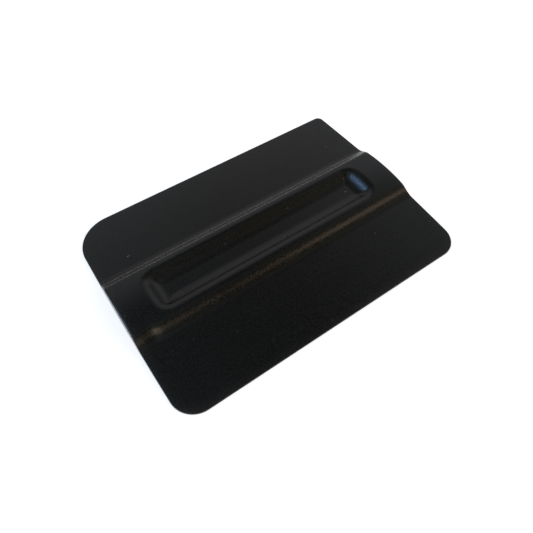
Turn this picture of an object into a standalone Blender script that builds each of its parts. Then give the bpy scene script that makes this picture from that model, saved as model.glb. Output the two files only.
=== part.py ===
"""Hard squeegee card: one moulded card with a raised grip, and a magnet glued into each end of the grip.

Metres, +Z up. The card lies on its flat underside with the origin under the middle of its box.
+X runs along the two working edges, and +Y points to the edge whose left corner is the roundest.
"""

from math import asin, atan2, cos, hypot, pi, sin, sqrt, tan

import bmesh
import bpy
from mathutils import Matrix

# Card, seen from above
cardLength = 0.100
cardDepth = 0.072
endBow = 0.0003  # how far each short end swells past its corners
cornerFarLeft = 0.0118
cornerNearLeft = 0.0073
cornerNearRight = 0.0068
cornerFarRight = 0.0021

# Blades: thin at the working edge, thick where they meet the grip
edgeThickness = 0.0005
rootThickness = 0.0017

# Grip: an arched band across the whole card
gripHeight = 0.0028  # crest above the root of the blades
gripHalfWidth = 0.00965  # out to the middle of the rounded shoulders
gripArchRadius = 0.054
gripFlankAngle = 41.0  # degrees from level
shoulderRadius = 0.0038
footRadius = 0.0050

# Pocket in the top of the grip
pocketEndMargin = 0.0104  # solid grip left between the pocket and each end of the card
pocketSideMargin = 0.0020  # grip left between the pocket and each shoulder
pocketShift = 0.0001  # the pocket sits a little towards +Y
pocketDepth = 0.0025
pocketSideAngle = 30.5  # degrees from level, of the two long walls
pocketEndAngle = 35.0  # degrees from level, of the two short walls
pocketCornerRadius = 0.0020
pocketFloorFillet = 0.0006

# Magnets, each glued up into a round socket under one end of the grip
magnetDiameter = 0.008
magnetHeight = 0.002
magnetEndWall = 0.0018  # plastic between the socket and the end of the card
glueDiameter = 0.007
glueHeight = 0.0002
coverHeight = 0.0005
coverRecess = 0.0001  # the covers stay clear of the film under the card
fitGap = 0.0002  # left between two pieces that touch
socketDiameter = magnetDiameter + 2 * fitGap

arcSteps = 5
cornerSteps = 10
roundSteps = 48
mostRounded = 0.6  # largest share of a wall that a rounding may take
mostOfFlank = 0.95  # largest share of a flank that its two roundings may take together
weldDistance = 0.000001
sharpAngle = 30.0  # degrees between two faces, past which their edge is shaded sharp
overshoot = 0.002  # how far a cutter runs past the face that it cuts

black = (0.012, 0.012, 0.012, 1)
nickel = (0.62, 0.60, 0.56, 1)
glueAmber = (0.55, 0.45, 0.25, 1)
coverGrey = (0.03, 0.03, 0.032, 1)


def clearScene():
    for obj in list(bpy.data.objects):
        bpy.data.objects.remove(obj, do_unlink=True)


def newCollection(name):
    collection = bpy.data.collections.new(name)
    bpy.context.scene.collection.children.link(collection)
    return collection


def newMaterial(name, colour, roughness, metallic):
    material = bpy.data.materials.new(name)
    material.use_nodes = True
    shader = material.node_tree.nodes["Principled BSDF"]
    shader.inputs["Base Color"].default_value = colour
    shader.inputs["Roughness"].default_value = roughness
    shader.inputs["Metallic"].default_value = metallic
    return material


def fillet(corner, before, after, radius, steps):
    """Points of the arc that rounds a corner between its two neighbours."""
    inX, inY = before[0] - corner[0], before[1] - corner[1]
    outX, outY = after[0] - corner[0], after[1] - corner[1]
    inLength, outLength = hypot(inX, inY), hypot(outX, outY)
    inX, inY = inX / inLength, inY / inLength
    outX, outY = outX / outLength, outY / outLength
    halfSine = sqrt((1 - inX * outX - inY * outY) / 2)
    midX, midY = inX + outX, inY + outY
    midLength = hypot(midX, midY)
    reach = radius / halfSine
    centre = (corner[0] + reach * midX / midLength, corner[1] + reach * midY / midLength)
    along = radius * sqrt(1 - halfSine**2) / halfSine
    start = (corner[0] + along * inX, corner[1] + along * inY)
    end = (corner[0] + along * outX, corner[1] + along * outY)
    first = atan2(start[1] - centre[1], start[0] - centre[0])
    turn = atan2(end[1] - centre[1], end[0] - centre[0]) - first
    turn = (turn + pi) % (2 * pi) - pi
    angles = [first + turn * i / steps for i in range(steps + 1)]
    return [(centre[0] + radius * cos(angle), centre[1] + radius * sin(angle)) for angle in angles]


def prism(name, outline, halfHeight, collection):
    """A closed flat outline, extruded both ways from its own plane, as a mesh."""
    curve = bpy.data.curves.new(name, "CURVE")
    curve.dimensions = "2D"
    curve.fill_mode = "BOTH"
    curve.extrude = halfHeight
    spline = curve.splines.new("POLY")
    spline.points.add(len(outline) - 1)
    for point, (x, y) in zip(spline.points, outline):
        point.co = (x, y, 0, 1)
    spline.use_cyclic_u = True
    guide = bpy.data.objects.new(name + "Guide", curve)
    collection.objects.link(guide)
    bpy.context.view_layer.update()
    evaluated = guide.evaluated_get(bpy.context.evaluated_depsgraph_get())
    mesh = bpy.data.meshes.new_from_object(evaluated)
    weld(mesh)
    obj = bpy.data.objects.new(name, mesh)
    obj.matrix_world = guide.matrix_world
    collection.objects.link(obj)
    bpy.data.objects.remove(guide, do_unlink=True)
    bpy.data.curves.remove(curve)
    return obj


def weld(mesh):
    edit = bmesh.new()
    edit.from_mesh(mesh)
    bmesh.ops.remove_doubles(edit, verts=edit.verts, dist=weldDistance)
    bmesh.ops.recalc_face_normals(edit, faces=edit.faces)
    edit.to_mesh(mesh)
    edit.free()


def place(obj, matrix):
    """Moves the mesh itself, so that the object keeps its own origin."""
    obj.data.transform(matrix)
    obj.data.update()


def asCutter(obj):
    obj.hide_render = True
    obj.display_type = "WIRE"
    return obj


def boolean(obj, other, operation):
    modifier = obj.modifiers.new(other.name, "BOOLEAN")
    modifier.operation = operation
    modifier.object = other
    modifier.solver = "EXACT"


def sectionOutline():
    """The card's section across the blades, as (y, z), with a flat underside."""
    edge = cardDepth / 2 + overshoot
    slope = (rootThickness - edgeThickness) / (cardDepth / 2 - gripHalfWidth)
    edgeTop = edgeThickness - slope * overshoot
    archCentre = rootThickness + gripHeight - gripArchRadius
    shoulderTop = archCentre + sqrt(gripArchRadius**2 - gripHalfWidth**2)
    flankSlope = tan(gripFlankAngle * pi / 180)
    # The foot is where the flank meets the sloping top of the blade
    footRun = (shoulderTop - rootThickness) / (flankSlope - slope)
    foot = (gripHalfWidth + footRun, rootThickness - slope * footRun)
    shoulder = (gripHalfWidth, shoulderTop)
    # The two roundings stay inside the flank between them
    footTurn = gripFlankAngle * pi / 180 - atan2(slope, 1)
    shoulderTurn = gripFlankAngle * pi / 180 - asin(gripHalfWidth / gripArchRadius)
    rounded = footRadius * tan(footTurn / 2) + shoulderRadius * tan(shoulderTurn / 2)
    keep = min(1, mostOfFlank * hypot(footRun, shoulderTop - foot[1]) / rounded)
    # The arch stops where the shoulder's rounding starts
    archReach = gripHalfWidth - shoulderRadius * keep * tan(gripFlankAngle / 2 * pi / 180)
    archAngle = asin(archReach / gripArchRadius)
    archSteps = 4 * arcSteps
    arch = []
    for i in range(archSteps + 1):
        angle = archAngle * (1 - 2 * i / archSteps)
        arch.append((gripArchRadius * sin(angle), archCentre + gripArchRadius * cos(angle)))
    footArc = fillet(foot, (edge, edgeTop), shoulder, footRadius * keep, arcSteps)
    shoulderArc = fillet(shoulder, foot, arch[0], shoulderRadius * keep, arcSteps)
    right = [(edge, 0), (edge, edgeTop)] + footArc + shoulderArc
    left = [(-y, z) for y, z in reversed(right)]
    return right + arch + left


def planOutline():
    """The card from above, as (x, y): round corners, one of them nearly square, and bowed short ends."""
    cornerX, cornerY = cardLength / 2 - endBow, cardDepth / 2
    corners = [
        ((cornerX, -cornerY), cornerNearRight),
        ((cornerX, cornerY), cornerFarRight),
        ((-cornerX, cornerY), cornerFarLeft),
        ((-cornerX, -cornerY), cornerNearLeft),
    ]
    rounds = [
        fillet(corner, corners[i - 1][0], corners[(i + 1) % 4][0], radius, cornerSteps)
        for i, (corner, radius) in enumerate(corners)
    ]
    nearRight, farRight, farLeft, nearLeft = rounds
    rightEnd = bowedEnd(nearRight[-1], farRight[0], endBow)
    leftEnd = bowedEnd(farLeft[-1], nearLeft[0], -endBow)
    return nearRight + rightEnd + farRight + farLeft + leftEnd + nearLeft


def bowedEnd(start, end, bow):
    """Points between the two corners of a short end, which swells out in the middle."""
    points = []
    for i in range(1, cornerSteps):
        share = i / cornerSteps
        points.append((start[0] + 4 * bow * share * (1 - share), start[1] + share * (end[1] - start[1])))
    return points


def pocketCutter(collection):
    """A tapered, round-cornered block that leaves the pocket when it is cut away."""
    sideRun, endRun = 1 / tan(pocketSideAngle * pi / 180), 1 / tan(pocketEndAngle * pi / 180)
    crest = rootThickness + gripHeight
    bottom, top = crest - pocketDepth, crest + overshoot
    halfLength = cardLength / 2 - pocketEndMargin
    halfWidth = gripHalfWidth - pocketSideMargin
    edit = bmesh.new()
    bmesh.ops.create_cube(edit, size=1)
    for vert in edit.verts:
        up = vert.co.z > 0
        rise = overshoot if up else -pocketDepth
        vert.co.x = (halfLength + rise * endRun) * (1 if vert.co.x > 0 else -1)
        vert.co.y = (halfWidth + rise * sideRun) * (1 if vert.co.y > 0 else -1) + pocketShift
        vert.co.z = top if up else bottom
    uprights = [e for e in edit.edges if abs(e.verts[0].co.z - e.verts[1].co.z) > pocketDepth]
    # The rounding stays inside the floor that the walls leave
    floorHalfWidth = halfWidth - pocketDepth * sideRun
    cornerRadius = min(pocketCornerRadius, floorHalfWidth * mostRounded)
    floorFillet = min(pocketFloorFillet, cornerRadius * mostRounded)
    bmesh.ops.bevel(edit, geom=uprights, offset=cornerRadius, segments=cornerSteps, profile=0.5,
                    affect="EDGES", material=-1)
    rim = [e for e in edit.edges if max(v.co.z for v in e.verts) < bottom + pocketDepth / 2]
    bmesh.ops.bevel(edit, geom=rim, offset=floorFillet, segments=arcSteps, profile=0.5,
                    affect="EDGES", material=-1)
    mesh = bpy.data.meshes.new("pocketCutter")
    edit.to_mesh(mesh)
    edit.free()
    obj = bpy.data.objects.new("pocketCutter", mesh)
    collection.objects.link(obj)
    return asCutter(obj)


def disc(name, diameter, bottom, top, x, collection):
    edit = bmesh.new()
    bmesh.ops.create_cone(edit, cap_ends=True, segments=roundSteps, radius1=diameter / 2,
                          radius2=diameter / 2, depth=top - bottom)
    mesh = bpy.data.meshes.new(name)
    edit.to_mesh(mesh)
    edit.free()
    obj = bpy.data.objects.new(name, mesh)
    obj.location = (x, 0, (bottom + top) / 2)
    collection.objects.link(obj)
    return obj


def stack():
    """Heights in a socket from the open end up: cover, magnet, glue, then the roof."""
    coverTop = coverRecess + coverHeight
    magnetBottom = coverTop + fitGap
    magnetTop = magnetBottom + magnetHeight
    glueBottom = magnetTop + fitGap
    glueTop = glueBottom + glueHeight
    return coverTop, magnetBottom, magnetTop, glueBottom, glueTop, glueTop + fitGap


def magnetPlaces():
    x = cardLength / 2 - magnetEndWall - socketDiameter / 2
    return ("left", -x), ("right", x)


def makeBody(parts, cutters):
    body = prism("squeegee_body", sectionOutline(), cardLength / 2 + overshoot, parts)
    # The section's own x and y become world y and z, and its extrusion runs along world x
    place(body, Matrix(((0, 0, 1, 0), (1, 0, 0, 0), (0, 1, 0, 0), (0, 0, 0, 1))))
    tall = rootThickness + gripHeight + overshoot
    outline = asCutter(prism("outlineCutter", planOutline(), tall, cutters))
    boolean(body, outline, "INTERSECT")
    boolean(body, pocketCutter(cutters), "DIFFERENCE")
    roof = stack()[-1]
    for side, x in magnetPlaces():
        socket = asCutter(disc("socketCutter_" + side, socketDiameter, -overshoot, roof, x, cutters))
        boolean(body, socket, "DIFFERENCE")
    body.data.materials.append(newMaterial("blackPlastic", black, 0.4, 0))
    return body


def makeMagnets(parts):
    coverTop, magnetBottom, magnetTop, glueBottom, glueTop, _ = stack()
    nickelPlate = newMaterial("nickelPlate", nickel, 0.25, 1)
    curedGlue = newMaterial("curedGlue", glueAmber, 0.35, 0)
    coverFilm = newMaterial("coverFilm", coverGrey, 0.5, 0)
    for side, x in magnetPlaces():
        pieces = (
            ("magnet_cover_" + side, magnetDiameter, coverRecess, coverTop, coverFilm),
            ("magnet_" + side, magnetDiameter, magnetBottom, magnetTop, nickelPlate),
            ("magnet_glue_" + side, glueDiameter, glueBottom, glueTop, curedGlue),
        )
        for name, diameter, bottom, top, material in pieces:
            piece = disc(name, diameter, bottom, top, x, parts)
            piece.data.materials.append(material)
            piece.data.shade_smooth()
            piece.data.set_sharp_from_angle(angle=sharpAngle * pi / 180)


clearScene()
partCollection = newCollection("squeegee_applicator")
cutterCollection = newCollection("cutters")
makeBody(partCollection, cutterCollection)
makeMagnets(partCollection)
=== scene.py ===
from math import atan2, cos, exp, hypot, radians, sin, sqrt, tan

import bmesh
import bpy
from mathutils import Matrix, Vector


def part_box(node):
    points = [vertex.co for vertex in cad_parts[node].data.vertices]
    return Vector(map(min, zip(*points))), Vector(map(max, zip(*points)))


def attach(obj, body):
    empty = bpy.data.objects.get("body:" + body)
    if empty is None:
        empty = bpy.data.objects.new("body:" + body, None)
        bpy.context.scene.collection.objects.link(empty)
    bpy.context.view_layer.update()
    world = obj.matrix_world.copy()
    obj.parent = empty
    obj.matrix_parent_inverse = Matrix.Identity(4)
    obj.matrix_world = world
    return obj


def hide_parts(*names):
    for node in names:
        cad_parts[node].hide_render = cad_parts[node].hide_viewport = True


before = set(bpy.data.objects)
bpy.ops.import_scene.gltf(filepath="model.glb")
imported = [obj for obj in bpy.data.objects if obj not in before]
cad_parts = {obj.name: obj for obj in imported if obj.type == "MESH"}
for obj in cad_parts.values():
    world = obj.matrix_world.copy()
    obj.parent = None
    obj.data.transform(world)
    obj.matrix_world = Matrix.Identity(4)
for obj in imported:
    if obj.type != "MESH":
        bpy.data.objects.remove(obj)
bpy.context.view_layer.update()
print("frame loaded:", len(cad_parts), "nodes")

mm = 0.001  # every size below is in millimetres and is turned into metres once


def keepMesh(edit, name, material, sharpAngle=35):
    mesh = bpy.data.meshes.new(name)
    edit.to_mesh(mesh)
    edit.free()
    mesh.materials.append(material)
    mesh.shade_smooth()
    mesh.set_sharp_from_angle(angle=radians(sharpAngle))
    obj = bpy.data.objects.new(name, mesh)
    bpy.context.scene.collection.objects.link(obj)
    return obj


def mix(a, b, share):
    return a + (b - a) * share


def clamp(value, low=0.0, high=1.0):
    return max(low, min(high, value))


def blendLow(a, b, width):
    # the lower of two heights, with a rounded crossing
    near = max(width - abs(a - b), 0) / width
    return min(a, b) - near * near * width / 4


def blendHigh(a, b, width):
    return -blendLow(-a, -b, width)


card = {
    "cornerFarLeft": 11.8, "cornerNearLeft": 7.3, "cornerNearRight": 6.8, "cornerFarRight": 2.1,
    "endBow": 0.3,  # swell of the short ends
    "edgeThickness": 0.5, "rootThickness": 1.7,
    "gripHalfWidth": 9.65, "archRadius": 54.0, "archReach": 20.0, "flankAngle": 41.0,
    "shoulderBlend": 0.8, "footBlend": 1.6,
    "pocketEndMargin": 10.4, "pocketSideMargin": 2.0, "pocketShift": 0.1,
    "pocketDepth": 2.5, "pocketWallAngle": 30.5, "pocketEndAngle": 35.0, "pocketCorner": 4.2,
    "rimBlend": 0.90, "floorBlend": 1.02,
    "bladeRound": 0.16, "gripRound": 0.55,  # radius of the top edge along the outline
    "roundRise": 1.5,  # height above the blades at which the edge has the grip's radius
    "draft": 3.5,  # degrees that the rim leans in towards the top
    "unworn": 10.0,  # rim distance given to faces that never rub
    "dentPlace": (-44.6, -11.0), "dentLength": 1.7, "dentPush": 0.5,  # knock in the flank near the left end
    "socketSides": 96,
    # where the rows of faces across the card are close together, and how many there are
    "footReach": 5.0, "flankReach": 1.0, "middleWidth": 2.4, "edgeCrowding": 2.0,
    "edgeRows": 40, "bladeRows": 8, "footRows": 60, "wallRows": 52, "middleRows": 8,
    # the same for the columns from each end to the middle
    "endBand": 1.0, "wallLead": 1.5, "wallReach": 6.0, "endCrowding": 1.7,
    "endColumns": 16, "bandColumns": 18, "wallColumns": 44, "middleColumns": 26,
}

bodyLow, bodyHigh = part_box("squeegee_body")
halfLength = (bodyHigh.x - bodyLow.x) / 2 / mm
halfDepth = (bodyHigh.y - bodyLow.y) / 2 / mm
crest = (bodyHigh.z - bodyLow.z) / mm


def cornerRadius(x, y):
    side = "Right" if x > 0 else "Left"
    return card[("cornerFar" if y > 0 else "cornerNear") + side]


def endPlace(side, y):
    # how far the outline reaches towards one short end at this y
    far, near = cornerRadius(side, 1), cornerRadius(side, -1)
    top, bottom = halfDepth - far, -halfDepth + near
    straight = halfLength - card["endBow"]
    if y > top:
        return straight - far + sqrt(max(far**2 - (y - top) ** 2, 0))
    if y < bottom:
        return straight - near + sqrt(max(near**2 - (y - bottom) ** 2, 0))
    share = (y - bottom) / (top - bottom)
    return straight + 4 * card["endBow"] * share * (1 - share)


def insideOutline(x, y):
    # distance from the outline, measured inwards
    radius = cornerRadius(x, y)
    cornerX, cornerY = halfLength - card["endBow"] - radius, halfDepth - radius
    if abs(x) > cornerX and abs(y) > cornerY:
        return radius - hypot(abs(x) - cornerX, abs(y) - cornerY)
    return min(endPlace(1 if x > 0 else -1, y) - abs(x), halfDepth - abs(y))


def sectionHeight(y):
    # height of the top across the blades, with no pocket and no rounded rim
    out = abs(y)
    slope = (card["rootThickness"] - card["edgeThickness"]) / (halfDepth - card["gripHalfWidth"])
    blade = card["rootThickness"] - slope * (out - card["gripHalfWidth"])
    centre = crest - card["archRadius"]
    arch = centre + sqrt(card["archRadius"] ** 2 - min(out, card["archReach"]) ** 2)
    shoulder = centre + sqrt(card["archRadius"] ** 2 - card["gripHalfWidth"] ** 2)
    flank = shoulder - (out - card["gripHalfWidth"]) * tan(radians(card["flankAngle"]))
    top = blendLow(arch, flank, card["shoulderBlend"])
    return blendHigh(top, blade, card["footBlend"])


def insidePocket(x, y):
    # distance in from the pocket's rim, and how far this spot belongs to an end wall
    halfX = halfLength - card["pocketEndMargin"]
    halfY = card["gripHalfWidth"] - card["pocketSideMargin"]
    outX = abs(x) - halfX + card["pocketCorner"]
    outY = abs(y - card["pocketShift"]) - halfY + card["pocketCorner"]
    inside = card["pocketCorner"] - min(max(outX, outY), 0) - hypot(max(outX, 0), max(outY, 0))
    atEnd = clamp(0.5 + (outX - outY) / card["pocketCorner"])
    return inside, atEnd * atEnd * (3 - 2 * atEnd)


def dentPush(x, y):
    # how far the flank is pushed back where the card has had a knock
    dentX, dentY = card["dentPlace"]
    away = ((x - dentX) / card["dentLength"]) ** 2 + ((y - dentY) / (2 * card["dentLength"])) ** 2
    return card["dentPush"] * exp(-away)


def topHeight(x, y):
    height = sectionHeight(y - dentPush(x, y))
    if abs(y) < card["gripHalfWidth"]:
        inside, atEnd = insidePocket(x, y)
        sideSlope = tan(radians(card["pocketWallAngle"]))
        slope = mix(sideSlope, tan(radians(card["pocketEndAngle"])), atEnd)
        steeper = slope / sideSlope
        floor = crest - card["pocketDepth"]
        pocket = blendHigh(crest - inside * slope, floor, card["floorBlend"] * steeper)
        height = blendLow(height, pocket, card["rimBlend"] * steeper)
    return height


def rimRadius(y):
    raised = clamp((sectionHeight(y) - card["rootThickness"]) / card["roundRise"])
    return mix(card["bladeRound"], card["gripRound"], raised)


def spaced(start, end, count, power=1.0):
    # places from start up to but not including end, closer together near start when power is over 1
    return [start + (end - start) * (i / count) ** power for i in range(count)]


def mirrored(half):
    return [-value for value in reversed(half)] + half[1:]


def gridPlaces():
    # the columns' and the rows' places, close together where the surface bends
    corner = max(card["cornerFarLeft"], card["cornerNearLeft"])
    shoulder = halfDepth - card["gripHalfWidth"]
    foot, flank = shoulder - card["footReach"], shoulder + card["flankReach"]
    middle = halfDepth - card["middleWidth"]
    fromEdge = spaced(0, corner, card["edgeRows"], card["edgeCrowding"])
    fromEdge += spaced(corner, foot, card["bladeRows"]) + spaced(foot, flank, card["footRows"])
    fromEdge += spaced(flank, middle, card["wallRows"]) + spaced(middle, halfDepth, card["middleRows"])
    rows = mirrored([0] + [halfDepth - value for value in reversed(fromEdge)])
    band = card["endBand"]
    wall, inner = card["pocketEndMargin"] - card["wallLead"], card["pocketEndMargin"] + card["wallReach"]
    fromEnd = spaced(0, band, card["endColumns"], card["endCrowding"])
    fromEnd += spaced(band, wall, card["bandColumns"]) + spaced(wall, inner, card["wallColumns"])
    fromEnd += spaced(inner, halfLength, card["middleColumns"])
    columns = mirrored([0] + [halfLength - value for value in reversed(fromEnd)])
    return columns, rows


def cardTop(edit):
    # a fine grid, spread over the outline and lifted to the moulded surface
    columns, rows = gridPlaces()
    across, along = len(columns) - 1, len(rows) - 1
    bmesh.ops.create_grid(edit, x_segments=across, y_segments=along, size=1)
    distance = edit.verts.layers.float.new("rimDistance")
    for vert in edit.verts:
        column = columns[round((vert.co.x + 1) / 2 * across)]
        y = rows[round((vert.co.y + 1) / 2 * along)]
        side = 1 if column > 0 else -1
        lean = tan(radians(card["draft"])) * sectionHeight(y)
        x = column / halfLength * (endPlace(side, y) - lean)
        inside = max(insideOutline(x, y) - lean, 0)
        radius = rimRadius(y)
        drop = radius - sqrt(radius**2 - max(radius - inside, 0) ** 2)
        vert.co = Vector((x, y, topHeight(x, y) - drop))
        vert[distance] = inside


def cardRim(edit):
    # the outline's wall leans out from the rounded top edge down to the flat underside
    rim = [e for e in edit.edges if e.is_boundary]
    lowered = bmesh.ops.extrude_edge_only(edit, edges=rim)["geom"]
    distance = edit.verts.layers.float["rimDistance"]
    for vert in [g for g in lowered if isinstance(g, bmesh.types.BMVert)]:
        lean = tan(radians(card["draft"])) * sectionHeight(vert.co.y)
        if abs(vert.co.x) > 1:
            vert.co.x += lean if vert.co.x > 0 else -lean
        vert.co.z = 0
        vert[distance] = card["unworn"]
    return [g for g in lowered if isinstance(g, bmesh.types.BMEdge)]


def socketRings(edit):
    edges = []
    for side in ("left", "right"):
        low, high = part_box("magnet_" + side)
        gap = (low.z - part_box("magnet_cover_" + side)[1].z) / mm
        centre = (low + high) / 2 / mm
        radius = (high.x - low.x) / 2 / mm + gap
        place = Matrix.Translation((centre.x, centre.y, 0))
        made = bmesh.ops.create_circle(edit, segments=card["socketSides"], radius=radius, matrix=place)
        edges.append(list({e for v in made["verts"] for e in v.link_edges}))
    return edges


def socketRoof():
    # the roof is as far above the glue as the glue is above the magnet
    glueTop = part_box("magnet_glue_left")[1].z / mm
    gap = (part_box("magnet_glue_left")[0].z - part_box("magnet_left")[1].z) / mm
    return glueTop + gap


def makeCard(material):
    edit = bmesh.new()
    cardTop(edit)
    under = cardRim(edit)
    rings = socketRings(edit)
    bmesh.ops.triangle_fill(edit, edges=under + rings[0] + rings[1], use_beauty=True)
    for ring in rings:
        raised = bmesh.ops.extrude_edge_only(edit, edges=ring)["geom"]
        verts = [g for g in raised if isinstance(g, bmesh.types.BMVert)]
        bmesh.ops.translate(edit, vec=(0, 0, socketRoof()), verts=verts)
        bmesh.ops.contextual_create(edit, geom=[g for g in raised if isinstance(g, bmesh.types.BMEdge)])
    bmesh.ops.recalc_face_normals(edit, faces=edit.faces)
    bmesh.ops.scale(edit, vec=(mm, mm, mm), verts=edit.verts)
    bmesh.ops.translate(edit, vec=(0, 0, bodyLow.z), verts=edit.verts)
    print("card:", len(edit.faces), "faces")
    return keepMesh(edit, "squeegee_card", material)


cardFinish = {
    "colour": (0.0046, 0.0046, 0.0045), "hazeColour": (0.020, 0.020, 0.021),
    "roughness": 0.19, "roughnessRange": 0.02, "handledPatch": 14.0,
    "grainSize": 0.38, "grainDepth": 0.035,  # moulded satin grain
    "sparkleSize": 0.5, "sparkleRange": (-0.09, 0.12),  # how much glossier and duller single grains are
    "rippleSize": 5.0, "rippleDepth": 0.004,  # slight flow ripples of the moulding
    "rubs": ((24, 60, 0.5, 0.36), (-61, 40, 0.35, 0.33)),  # turn, length, width, share kept
    "rubDepth": 0.0012, "rubShare": 0.12, "rubDulling": 0.03,
    "hazeReach": (22.0, 37.0), "hazeShare": 0.45, "hazeDulling": 0.05,  # rubbed band along the far edge
    "wearReach": 3.5, "wearShare": 0.5, "wearDulling": 0.05,  # rubbed rim
    "wearColour": (0.030, 0.029, 0.028),
    "dustColour": (0.14, 0.137, 0.13), "dustDulling": 0.5, "dustHeight": 0.02,
    "dust": (6.0, 0.19, 0.13), "lint": (10.2, 0.247, 0.14, 3.0, 35),  # cell, size, share kept, stretch, turn
}


def newMaterial(name):
    material = bpy.data.materials.new(name)
    material.use_nodes = True
    tree = material.node_tree
    return material, tree, tree.nodes["Principled BSDF"]


def addNode(tree, kind, **settings):
    node = tree.nodes.new("ShaderNode" + kind)
    for name, value in settings.items():
        setattr(node, name, value)
    return node


def feed(tree, socket, value):
    # a socket takes another socket's output or a fixed value
    if isinstance(value, bpy.types.NodeSocket):
        tree.links.new(value, socket)
    else:
        socket.default_value = value


def objectPlace(tree, stretch=(1, 1, 1), turn=0):
    mapping = addNode(tree, "Mapping")
    mapping.inputs["Rotation"].default_value = (0, 0, radians(turn))
    mapping.inputs["Scale"].default_value = stretch
    tree.links.new(addNode(tree, "TexCoord").outputs["Object"], mapping.inputs["Vector"])
    return mapping.outputs["Vector"]


def noise(tree, place, size, detail=2.0, roughness=0.5):
    # size is in millimetres
    node = addNode(tree, "TexNoise")
    feed(tree, node.inputs["Vector"], place)
    node.inputs["Scale"].default_value = 1 / (size * mm)
    node.inputs["Detail"].default_value = detail
    node.inputs["Roughness"].default_value = roughness
    return node.outputs["Fac"]


def span(tree, value, low, high, toLow=0.0, toHigh=1.0):
    node = addNode(tree, "MapRange")
    for socket, given in zip(node.inputs, (value, low, high, toLow, toHigh)):
        feed(tree, socket, given)
    return node.outputs["Result"]


def maths(tree, operation, first, second=0.0):
    node = addNode(tree, "Math", operation=operation)
    feed(tree, node.inputs[0], first)
    feed(tree, node.inputs[1], second)
    return node.outputs["Value"]


def total(tree, *values):
    result = values[0]
    for value in values[1:]:
        result = maths(tree, "ADD", result, value)
    return result


def tint(tree, share, under, over):
    node = addNode(tree, "Mix", data_type="RGBA")
    feed(tree, node.inputs[0], share)
    feed(tree, node.inputs[6], (*under, 1) if isinstance(under, tuple) else under)
    feed(tree, node.inputs[7], (*over, 1) if isinstance(over, tuple) else over)
    return node.outputs[2]


def emboss(tree, shader, height):
    # the height is in millimetres
    node = addNode(tree, "Bump")
    node.inputs["Strength"].default_value = 1.0
    node.inputs["Distance"].default_value = mm
    feed(tree, node.inputs["Height"], height)
    tree.links.new(node.outputs["Normal"], shader.inputs["Normal"])


def rubLines(tree, turn, length, width, kept):
    # long faint lines of rubbing, kept only where the noise is high
    long = noise(tree, objectPlace(tree, (1 / length, 1 / width, 1 / length), turn), 1.0, 3.0)
    return span(tree, long, 1 - kept, 1 - kept + 0.06)


def specks(tree, cell, size, kept, stretch=1.0, turn=0):
    # soft round or long spots in a few cells of a flat pattern
    node = addNode(tree, "TexVoronoi", voronoi_dimensions="2D", feature="F1")
    feed(tree, node.inputs["Vector"], objectPlace(tree, (1 / stretch, 1, 1), turn))
    node.inputs["Scale"].default_value = 1 / (cell * mm)
    colour = addNode(tree, "SeparateColor")
    tree.links.new(node.outputs["Color"], colour.inputs["Color"])
    radius = span(tree, colour.outputs["Green"], 0, 1, 0.5 * size / cell, size / cell)
    inside = span(tree, maths(tree, "DIVIDE", node.outputs["Distance"], radius), 1.0, 0.6)
    return maths(tree, "MULTIPLY", inside, maths(tree, "GREATER_THAN", colour.outputs["Red"], 1 - kept))


def cardPlastic():
    finish = cardFinish
    material, tree, shader = newMaterial("cardPlastic")
    place = objectPlace(tree)
    axes = addNode(tree, "SeparateXYZ")
    tree.links.new(place, axes.inputs["Vector"])
    rim = addNode(tree, "Attribute", attribute_name="rimDistance").outputs["Fac"]

    grain = noise(tree, place, finish["grainSize"], 2.0, 0.6)
    ripple = noise(tree, place, finish["rippleSize"], 1.0)
    handled = noise(tree, place, finish["handledPatch"], 4.0, 0.6)
    rubbed = total(tree, *[rubLines(tree, *rub) for rub in finish["rubs"]])

    worn = maths(tree, "POWER", span(tree, rim, finish["wearReach"], 0.0), 2.0)
    worn = maths(tree, "MULTIPLY", worn, span(tree, handled, 0.35, 0.65, 0.5, 1.0))
    reach = [distance * mm for distance in finish["hazeReach"]]
    haze = span(tree, axes.outputs["Y"], *reach)
    haze = maths(tree, "MULTIPLY", haze, span(tree, handled, 0.2, 0.8, 0.6, 1.0))
    dust = maths(tree, "MAXIMUM", specks(tree, *finish["dust"]), specks(tree, *finish["lint"]))

    def share(mask, key):
        return maths(tree, "MULTIPLY", mask, finish[key])

    colour = tint(tree, share(haze, "hazeShare"), finish["colour"], finish["hazeColour"])
    colour = tint(tree, share(worn, "wearShare"), colour, finish["wearColour"])
    colour = tint(tree, share(rubbed, "rubShare"), colour, finish["hazeColour"])
    feed(tree, shader.inputs["Base Color"], tint(tree, dust, colour, finish["dustColour"]))

    half = finish["roughnessRange"]
    roughness = span(tree, handled, 0.3, 0.7, finish["roughness"] - half, finish["roughness"] + half)
    sparkle = noise(tree, place, finish["sparkleSize"], 1.0)
    sparkle = span(tree, sparkle, 0.35, 0.65, *finish["sparkleRange"])
    roughness = total(tree, roughness, sparkle, share(rubbed, "rubDulling"), share(haze, "hazeDulling"),
                      share(worn, "wearDulling"), share(dust, "dustDulling"))
    feed(tree, shader.inputs["Roughness"], roughness)

    raised = total(tree, share(grain, "grainDepth"), share(ripple, "rippleDepth"), share(dust, "dustHeight"))
    emboss(tree, shader, maths(tree, "SUBTRACT", raised, share(rubbed, "rubDepth")))
    return material


cardPiece = makeCard(cardPlastic())
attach(cardPiece, "root")
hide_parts("squeegee_body")

magnet = {
    "bevel": 0.25, "sides": 96,
    "colour": (0.60, 0.585, 0.55), "dullColour": (0.42, 0.40, 0.37), "cloudSize": 1.6,
    "roughness": (0.2, 0.32), "tumbledSize": 0.18, "tumbledDepth": 0.002,
    "pits": (0.7, 0.08, 0.3), "pitDepth": 0.01,  # cell, size, share kept
}


discInset = 0.12  # width of the ring of faces round a disc, as a share of its diameter


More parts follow.
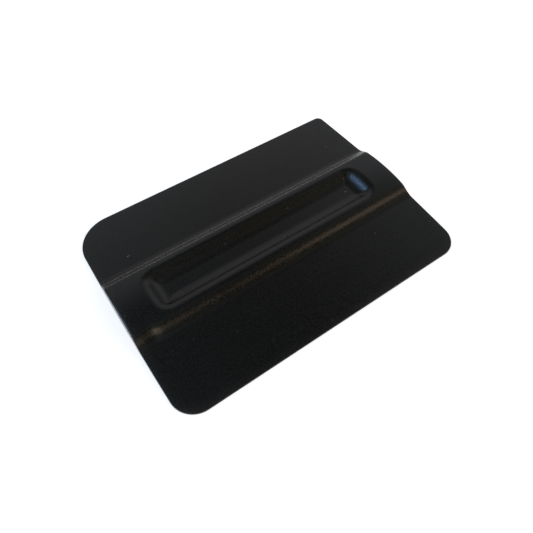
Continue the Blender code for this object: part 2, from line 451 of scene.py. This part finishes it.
def roundDisc(name, node, material, bevel, sides):
    # a disc that fills its node's box, with both of its edges rounded
    low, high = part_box(node)
    centre = (low + high) / 2
    edit = bmesh.new()
    bmesh.ops.create_circle(edit, cap_ends=True, segments=sides, radius=(high.x - low.x) / 2)
    bmesh.ops.inset_region(edit, faces=edit.faces, thickness=(high.x - low.x) * discInset)
    raised = bmesh.ops.extrude_face_region(edit, geom=list(edit.faces))["geom"]
    lid = [g for g in raised if isinstance(g, bmesh.types.BMVert)]
    bmesh.ops.translate(edit, vec=(0, 0, high.z - low.z), verts=lid)
    bmesh.ops.recalc_face_normals(edit, faces=edit.faces)
    edges = [e for e in edit.edges if e.calc_face_angle(0) > radians(60)]
    bmesh.ops.bevel(edit, geom=edges, offset=bevel * mm, segments=3, profile=0.5, affect="EDGES", material=-1)
    bmesh.ops.translate(edit, vec=(centre.x, centre.y, low.z), verts=edit.verts)
    return keepMesh(edit, name, material, 50)


def nickelPlate():
    material, tree, shader = newMaterial("nickelPlate")
    place = objectPlace(tree)
    tumbled = noise(tree, place, magnet["tumbledSize"], 3.0, 0.7)
    cloudy = noise(tree, place, magnet["cloudSize"], 3.0)
    pits = specks(tree, *magnet["pits"])
    colour = tint(tree, span(tree, cloudy, 0.35, 0.7), magnet["colour"], magnet["dullColour"])
    feed(tree, shader.inputs["Base Color"], tint(tree, pits, colour, magnet["dullColour"]))
    shader.inputs["Metallic"].default_value = 1.0
    feed(tree, shader.inputs["Roughness"], span(tree, cloudy, 0.3, 0.7, *magnet["roughness"]))
    height = maths(tree, "MULTIPLY", tumbled, magnet["tumbledDepth"])
    height = maths(tree, "SUBTRACT", height, maths(tree, "MULTIPLY", pits, magnet["pitDepth"]))
    emboss(tree, shader, height)
    return material


glue = {
    "colour": (0.50, 0.36, 0.14), "paleColour": (0.72, 0.62, 0.40), "sides": 64,
    "edgeLoss": 0.08,  # how far the edge of the squeezed drop falls short, as a share of its radius
    "edgeRound": 0.45,  # radius of the drop's edge, as a share of its height
    "cloudSize": 1.2, "roughness": (0.12, 0.3), "cloudHeight": 0.03,
    "bubbles": (0.7, 0.35, 0.4), "bubbleHeight": 0.02,  # cell, size, share kept
}


def gluedDrop(name, node, material, phase):
    # a squeezed drop of glue: its outline wanders and its edge is rounded
    low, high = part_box(node)
    centre = (low + high) / 2
    piece = roundDisc(name, node, material, (high.z - low.z) / mm * glue["edgeRound"], glue["sides"])
    for vert in piece.data.vertices:
        x, y = vert.co.x - centre.x, vert.co.y - centre.y
        angle = atan2(y, x)
        wander = 0.5 + 0.25 * sin(3 * angle + phase) + 0.25 * sin(7 * angle - 2 * phase)
        shrink = 1 - glue["edgeLoss"] * wander
        vert.co.x, vert.co.y = centre.x + x * shrink, centre.y + y * shrink
    return piece


def curedGlue():
    material, tree, shader = newMaterial("curedGlue")
    place = objectPlace(tree)
    cloudy = noise(tree, place, glue["cloudSize"], 4.0, 0.6)
    bubbles = specks(tree, *glue["bubbles"])
    colour = tint(tree, span(tree, cloudy, 0.3, 0.7), glue["colour"], glue["paleColour"])
    feed(tree, shader.inputs["Base Color"], tint(tree, bubbles, colour, glue["paleColour"]))
    feed(tree, shader.inputs["Roughness"], span(tree, cloudy, 0.3, 0.7, *glue["roughness"]))
    shader.inputs["IOR"].default_value = 1.5
    shader.inputs["Coat Weight"].default_value = 0.3
    height = maths(tree, "MULTIPLY", cloudy, glue["cloudHeight"])
    height = total(tree, height, maths(tree, "MULTIPLY", bubbles, glue["bubbleHeight"]))
    emboss(tree, shader, height)
    return material


cover = {
    "bevel": 0.1, "sides": 96,
    "colour": (0.022, 0.022, 0.023), "rubbedColour": (0.05, 0.05, 0.05), "cloudSize": 3.0,
    "roughness": (0.33, 0.45), "grainSize": 0.3, "grainDepth": 0.004,
    "rubs": (12, 30, 0.25, 0.38), "rubShare": 0.5, "rubDepth": 0.003,  # turn, length, width, share kept
}


def coverPlastic():
    material, tree, shader = newMaterial("coverPlastic")
    place = objectPlace(tree)
    grain = noise(tree, place, cover["grainSize"], 2.0, 0.6)
    cloudy = noise(tree, place, cover["cloudSize"], 3.0)
    rubbed = rubLines(tree, *cover["rubs"])
    share = maths(tree, "MULTIPLY", rubbed, cover["rubShare"])
    feed(tree, shader.inputs["Base Color"], tint(tree, share, cover["colour"], cover["rubbedColour"]))
    feed(tree, shader.inputs["Roughness"], span(tree, cloudy, 0.3, 0.7, *cover["roughness"]))
    height = maths(tree, "MULTIPLY", grain, cover["grainDepth"])
    height = maths(tree, "SUBTRACT", height, maths(tree, "MULTIPLY", rubbed, cover["rubDepth"]))
    emboss(tree, shader, height)
    return material


def magnetPieces():
    plate, cured, plastic = nickelPlate(), curedGlue(), coverPlastic()
    for side, phase in (("left", 0.4), ("right", 2.1)):
        node = "magnet_" + side
        disc = roundDisc("disc_magnet_" + side, node, plate, magnet["bevel"], magnet["sides"])
        glued = "magnet_glue_" + side
        drop = gluedDrop("glue_drop_" + side, glued, cured, phase)
        covered = "magnet_cover_" + side
        lid = roundDisc("socket_cover_" + side, covered, plastic, cover["bevel"], cover["sides"])
        made = ((disc, node, "magnet_plating"), (drop, glued, "cured_glue"), (lid, covered, "cover_plastic"))
        for piece, node, slot in made:
            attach(piece, "root")
            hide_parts(node)
    print("magnets, glue and covers: 3 pieces at each end")


magnetPieces()

view = {
    "place": (-52.82, -73.78, 123.24), "target": (-5.47, -8.47, 0), "roll": 1.42,
    "focal": 32.72, "sensor": 36.0, "nearest": 5.0,
}


def makeCamera():
    data = bpy.data.cameras.new("camera")
    data.sensor_width = view["sensor"]
    data.lens = view["focal"]
    data.clip_start = view["nearest"] * mm
    camera = bpy.data.objects.new("camera", data)
    bpy.context.scene.collection.objects.link(camera)
    place = Vector(view["place"]) * mm
    aim = (Vector(view["target"]) * mm - place).to_track_quat("-Z", "Y").to_matrix()
    aim = aim @ Matrix.Rotation(radians(view["roll"]), 3, "Z")
    camera.matrix_world = Matrix.Translation(place) @ aim.to_4x4()
    bpy.context.scene.camera = camera


table = {
    "halfSize": 3000.0, "below": 0.05,  # just under the card, so that the two never share a plane
    "colour": (0.85, 0.85, 0.85), "roughness": 0.9, "glow": 0.68,
}


def makeFloor():
    edit = bmesh.new()
    bmesh.ops.create_grid(edit, x_segments=1, y_segments=1, size=table["halfSize"] * mm)
    bmesh.ops.translate(edit, vec=(0, 0, bodyLow.z - table["below"] * mm), verts=edit.verts)
    material, _, shader = newMaterial("paleFloor")
    shader.inputs["Base Color"].default_value = (*table["colour"], 1)
    shader.inputs["Roughness"].default_value = table["roughness"]
    shader.inputs["Specular IOR Level"].default_value = 0.0
    shader.inputs["Emission Color"].default_value = (1, 1, 1, 1)
    shader.inputs["Emission Strength"].default_value = table["glow"]
    floor = keepMesh(edit, "floor", material)


studio = {
    # soft glows round the table: compass turn from the far side, height in degrees, tightness, colour
    "farLowLeft": (10, 8, 25, (0.34, 0.32, 0.32)),
    "farLowRight": (35, 8, 25, (0.30, 0.30, 0.29)),
    "farLeft": (0, 31, 30, (0.28, 0.27, 0.27)),
    "far": (30, 31, 30, (0.31, 0.31, 0.32)),
    "farRight": (60, 31, 30, (0.45, 0.49, 0.53)),
    "farHighLeft": (0, 45, 30, (0.25, 0.29, 0.30)),
    "farHigh": (30, 45, 30, (0.11, 0.10, 0.09)),
    "farHighRight": (60, 45, 30, (0.17, 0.16, 0.17)),
    "rightHigh": (90, 45, 30, (0.17, 0.20, 0.18)),
    "rightLow": (108, 4, 9, (1.50, 1.40, 1.25)),
    "nearRightLow": (144, 4, 9, (1.12, 0.91, 0.63)),
    "nearRightHigh": (114, 62, 40, (0.13, 0.125, 0.075)),
    "tubeRight": (143, 31, 130, (4.2, 3.0, 2.0)),
    "tubeLeft": (176, 36, 130, (1.15, 0.9, 0.65)),
    "warmLamp": (198, 41, 45, (2.40, 1.98, 1.45)),
    "window": (306, 44, 45, (2.1, 3.6, 6.3)),
    "leftHigh": (257, 62, 9, (0.48, 0.54, 0.56)),
    "ceiling": (0, 88, 9, (0.045, 0.045, 0.045)),
}
backdrop = (0.95, 0.95, 0.95)  # what shows past the edge of the floor


def makeStudio():
    world = bpy.data.worlds.new("studio")
    world.use_nodes = True
    bpy.context.scene.world = world
    tree = world.node_tree
    direction = addNode(tree, "TexCoord").outputs["Generated"]
    light = None
    for turn, height, tightness, colour in studio.values():
        facing = addNode(tree, "VectorMath", operation="DOT_PRODUCT")
        feed(tree, facing.inputs[0], direction)
        turn, height = radians(turn), radians(height)
        facing.inputs[1].default_value = (sin(turn) * cos(height), cos(turn) * cos(height), sin(height))
        fall = maths(tree, "MULTIPLY", maths(tree, "SUBTRACT", facing.outputs["Value"], 1.0), tightness)
        glow = addNode(tree, "VectorMath", operation="SCALE")
        glow.inputs[0].default_value = colour
        feed(tree, glow.inputs["Scale"], maths(tree, "EXPONENT", fall))
        if light is None:
            light = glow.outputs[0]
        else:
            both = addNode(tree, "VectorMath", operation="ADD")
            feed(tree, both.inputs[0], light)
            feed(tree, both.inputs[1], glow.outputs[0])
            light = both.outputs[0]
    direct = addNode(tree, "LightPath").outputs["Is Camera Ray"]
    feed(tree, tree.nodes["Background"].inputs["Color"], tint(tree, direct, light, backdrop))
    print("studio:", len(studio), "soft glows")


makeCamera()
makeFloor()
makeStudio()
bpy.context.scene.view_settings.view_transform = "Standard"
